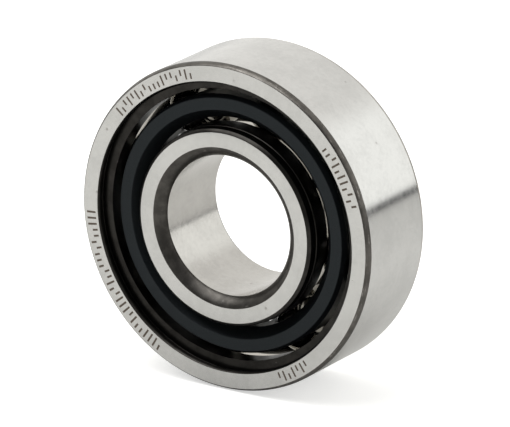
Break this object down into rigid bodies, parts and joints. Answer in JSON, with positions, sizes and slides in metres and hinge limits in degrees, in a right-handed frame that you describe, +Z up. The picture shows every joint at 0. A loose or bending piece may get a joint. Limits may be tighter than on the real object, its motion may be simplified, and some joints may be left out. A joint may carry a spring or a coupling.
{
  "type": "ball bearing",
  "caption": "Single-row deep-groove ball bearing, open on both sides, with ground steel rings and a black moulded snap cage",
  "frame": {"origin": "centre of the bearing: on its axis, midway between its two faces", "axes": "+Y along the bearing's axis, away from the marked face; +Z up; +X to the right seen from the marked face"},
  "size_m": [0.035, 0.011, 0.035],
  "materials": {
    "ring_steel": "fine ground",
    "ball_steel": "polished",
    "cage_plastic": "moulded, satin"
  },
  "bodies": {
    "outer_ring": {"outer_ring": "ring_steel"},
    "inner_ring": {"inner_ring": "ring_steel"},
    "cage": {"cage": "cage_plastic"},
    "ball_1": {"ball_1": "ball_steel"},
    "ball_2": {"ball_2": "ball_steel"},
    "ball_3": {"ball_3": "ball_steel"},
    "ball_4": {"ball_4": "ball_steel"},
    "ball_5": {"ball_5": "ball_steel"},
    "ball_6": {"ball_6": "ball_steel"},
    "ball_7": {"ball_7": "ball_steel"},
    "ball_8": {"ball_8": "ball_steel"}
  },
  "joints": [
    {"name": "inner_ring_spin", "type": "hinge", "parent": "outer_ring", "child": "inner_ring", "pos_m": [0, 0, 0], "axis": [0, 1, 0], "continuous": true},
    {"name": "cage_orbit", "type": "hinge", "parent": "outer_ring", "child": "cage", "pos_m": [0, 0, 0], "axis": [0, 1, 0], "continuous": true},
    {"name": "ball_1_spin", "type": "hinge", "parent": "cage", "child": "ball_1", "pos_m": [0.01065, 0, 0.00655], "axis": [0, 1, 0], "continuous": true},
    {"name": "ball_2_spin", "type": "hinge", "parent": "cage", "child": "ball_2", "pos_m": [0.0029, 0, 0.01216], "axis": [0, 1, 0], "continuous": true},
    {"name": "ball_3_spin", "type": "hinge", "parent": "cage", "child": "ball_3", "pos_m": [-0.00655, 0, 0.01065], "axis": [0, 1, 0], "continuous": true},
    {"name": "ball_4_spin", "type": "hinge", "parent": "cage", "child": "ball_4", "pos_m": [-0.01216, 0, 0.0029], "axis": [0, 1, 0], "continuous": true},
    {"name": "ball_5_spin", "type": "hinge", "parent": "cage", "child": "ball_5", "pos_m": [-0.01065, 0, -0.00655], "axis": [0, 1, 0], "continuous": true},
    {"name": "ball_6_spin", "type": "hinge", "parent": "cage", "child": "ball_6", "pos_m": [-0.0029, 0, -0.01216], "axis": [0, 1, 0], "continuous": true},
    {"name": "ball_7_spin", "type": "hinge", "parent": "cage", "child": "ball_7", "pos_m": [0.00655, 0, -0.01065], "axis": [0, 1, 0], "continuous": true},
    {"name": "ball_8_spin", "type": "hinge", "parent": "cage", "child": "ball_8", "pos_m": [0.01216, 0, -0.0029], "axis": [0, 1, 0], "continuous": true}
  ],
  "couplings": [
    {"joint": "cage_orbit", "follows": "inner_ring_spin", "ratio": 0.38094},
    {"joint": "ball_1_spin", "follows": "inner_ring_spin", "ratio": -1.9807},
    {"joint": "ball_2_spin", "follows": "inner_ring_spin", "ratio": -1.9807},
    {"joint": "ball_3_spin", "follows": "inner_ring_spin", "ratio": -1.9807},
    {"joint": "ball_4_spin", "follows": "inner_ring_spin", "ratio": -1.9807},
    {"joint": "ball_5_spin", "follows": "inner_ring_spin", "ratio": -1.9807},
    {"joint": "ball_6_spin", "follows": "inner_ring_spin", "ratio": -1.9807},
    {"joint": "ball_7_spin", "follows": "inner_ring_spin", "ratio": -1.9807},
    {"joint": "ball_8_spin", "follows": "inner_ring_spin", "ratio": -1.9807}
  ]
}
